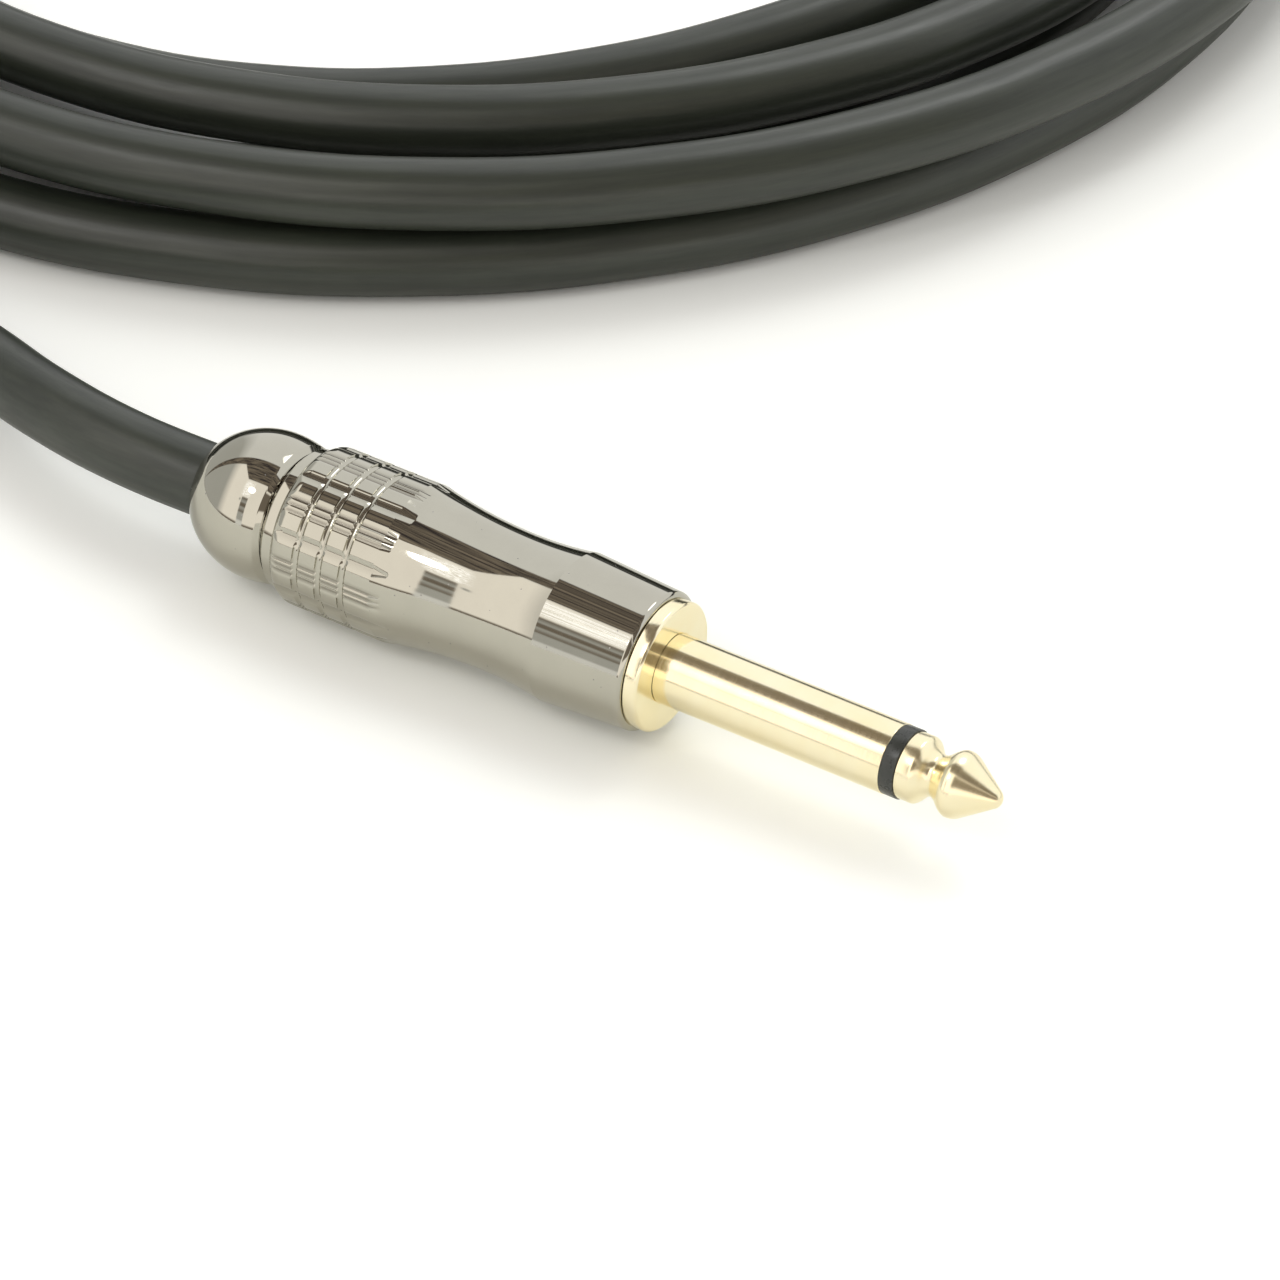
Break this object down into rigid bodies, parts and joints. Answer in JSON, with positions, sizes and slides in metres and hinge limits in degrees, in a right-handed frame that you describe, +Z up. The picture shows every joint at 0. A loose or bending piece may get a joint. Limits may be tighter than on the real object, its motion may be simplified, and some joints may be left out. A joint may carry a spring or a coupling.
{
  "type": "instrument cable",
  "caption": "Instrument cable with straight quarter-inch mono plugs, screw-on shells and a coiled rubber-jacketed cord.",
  "frame": {"origin": "centre of the two plugs' footprint, on the surface that the lead lies on", "axes": "+X along both plugs, towards their tips; +Y from plug A to plug B; +Z up"},
  "size_m": [0.2198, 0.2146, 0.0146],
  "materials": {
    "contact_gold": "polished gold plating",
    "black_nickel": "mirror-polished black nickel plating",
    "insulator_black": "smooth moulded plastic",
    "insulator_pale": "plain extruded plastic",
    "fibre_washer": "vulcanised fibre",
    "tinned_lug": "stamped, tinned",
    "jacket_rubber": "matte black rubber jacket",
    "copper": "bare copper strands",
    "solder": "smooth solder",
    "liner_plastic": "thin insulating sleeve",
    "collet_plastic": "moulded nylon"
  },
  "bodies": {
    "lead": {"tip_a": "contact_gold", "tip_b": "contact_gold", "tip_ring_a": "insulator_black", "tip_ring_b": "insulator_black", "rod_tube_a": "insulator_pale", "rod_tube_b": "insulator_pale", "sleeve_a": "contact_gold", "sleeve_b": "contact_gold", "ground_lug_a": "tinned_lug", "ground_lug_b": "tinned_lug", "lug_washer_a": "fibre_washer", "lug_washer_b": "fibre_washer", "tip_lug_a": "tinned_lug", "tip_lug_b": "tinned_lug", "cord_end_a": "jacket_rubber", "cord_end_b": "jacket_rubber", "screen_a": "copper", "screen_b": "copper", "core_a": "insulator_pale", "core_b": "insulator_pale", "conductor_a": "copper", "conductor_b": "copper", "tip_solder_a": "solder", "tip_solder_b": "solder", "ground_solder_a": "solder", "ground_solder_b": "solder", "cord_run_a": "jacket_rubber", "cord_coil": "jacket_rubber", "cord_run_b": "jacket_rubber"},
    "liner_a": {"liner_a": "liner_plastic"},
    "shell_a": {"shell_a": "black_nickel"},
    "collet_a": {"collet_a": "collet_plastic"},
    "cap_a": {"cap_a": "black_nickel"},
    "liner_b": {"liner_b": "liner_plastic"},
    "shell_b": {"shell_b": "black_nickel"},
    "collet_b": {"collet_b": "collet_plastic"},
    "cap_b": {"cap_b": "black_nickel"}
  },
  "joints": [
    {"name": "liner_slide_a", "type": "slide", "parent": "lead", "child": "liner_a", "axis": [-1, 0, 0], "range_m": [0, 0.005]},
    {"name": "shell_turn_a", "type": "hinge", "parent": "liner_a", "child": "shell_a", "pos_m": [-0.015, -0.1, 0.0073], "axis": [-1, 0, 0], "range_deg": [0, 1800]},
    {"name": "collet_slide_a", "type": "slide", "parent": "shell_a", "child": "collet_a", "axis": [-1, 0, 0], "range_m": [0, 0.004]},
    {"name": "cap_turn_a", "type": "hinge", "parent": "collet_a", "child": "cap_a", "pos_m": [-0.035, -0.1, 0.0073], "axis": [-1, 0, 0], "range_deg": [0, 1440]},
    {"name": "liner_slide_b", "type": "slide", "parent": "lead", "child": "liner_b", "axis": [-1, 0, 0], "range_m": [0, 0.005]},
    {"name": "shell_turn_b", "type": "hinge", "parent": "liner_b", "child": "shell_b", "pos_m": [-0.015, 0.1, 0.0073], "axis": [-1, 0, 0], "range_deg": [0, 1800]},
    {"name": "collet_slide_b", "type": "slide", "parent": "shell_b", "child": "collet_b", "axis": [-1, 0, 0], "range_m": [0, 0.004]},
    {"name": "cap_turn_b", "type": "hinge", "parent": "collet_b", "child": "cap_b", "pos_m": [-0.035, 0.1, 0.0073], "axis": [-1, 0, 0], "range_deg": [0, 1440]}
  ],
  "couplings": [
    {"joint": "shell_turn_a", "follows": "liner_slide_a", "rad_per_m": 6283.2},
    {"joint": "cap_turn_a", "follows": "collet_slide_a", "rad_per_m": 6283.2},
    {"joint": "shell_turn_b", "follows": "liner_slide_b", "rad_per_m": 6283.2},
    {"joint": "cap_turn_b", "follows": "collet_slide_b", "rad_per_m": 6283.2}
  ]
}
